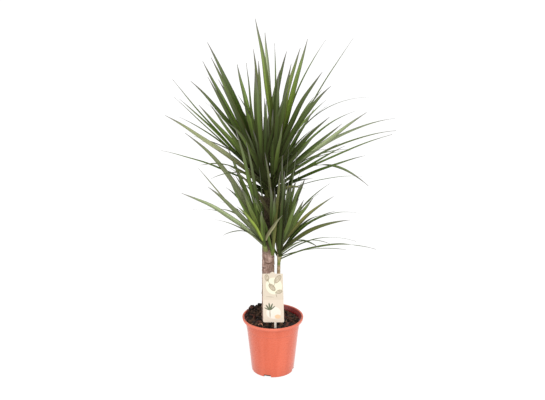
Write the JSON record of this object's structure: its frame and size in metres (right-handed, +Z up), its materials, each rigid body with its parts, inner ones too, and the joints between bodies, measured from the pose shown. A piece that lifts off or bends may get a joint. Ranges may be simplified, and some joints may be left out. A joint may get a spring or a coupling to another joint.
{
  "type": "potted madagascar dragon tree",
  "caption": "Madagascar dragon tree in a terracotta coloured nursery pot: a thick and a thin bare cane carry heads of long narrow arching leaves, with a care label standing in the soil.",
  "frame": {"origin": "middle of the pot's flat underside, on the surface that the pot stands on", "axes": "+Z up along the pot's axis, -Y is the front with the care label, +X is to the right seen from the front"},
  "size_m": [0.6252, 0.5054, 0.9852],
  "materials": {
    "pot": "satin",
    "soil": "matte",
    "bark": "matte",
    "young_bark": "matte",
    "leaf": "satin",
    "label": "satin"
  },
  "bodies": {
    "root": {"pot": "pot", "soil": "soil", "tall_cane": "bark", "short_cane": "young_bark", "crown": "leaf", "side_shoots": "leaf", "short_shoot": "leaf", "care_label": "label"}
  },
  "joints": []
}
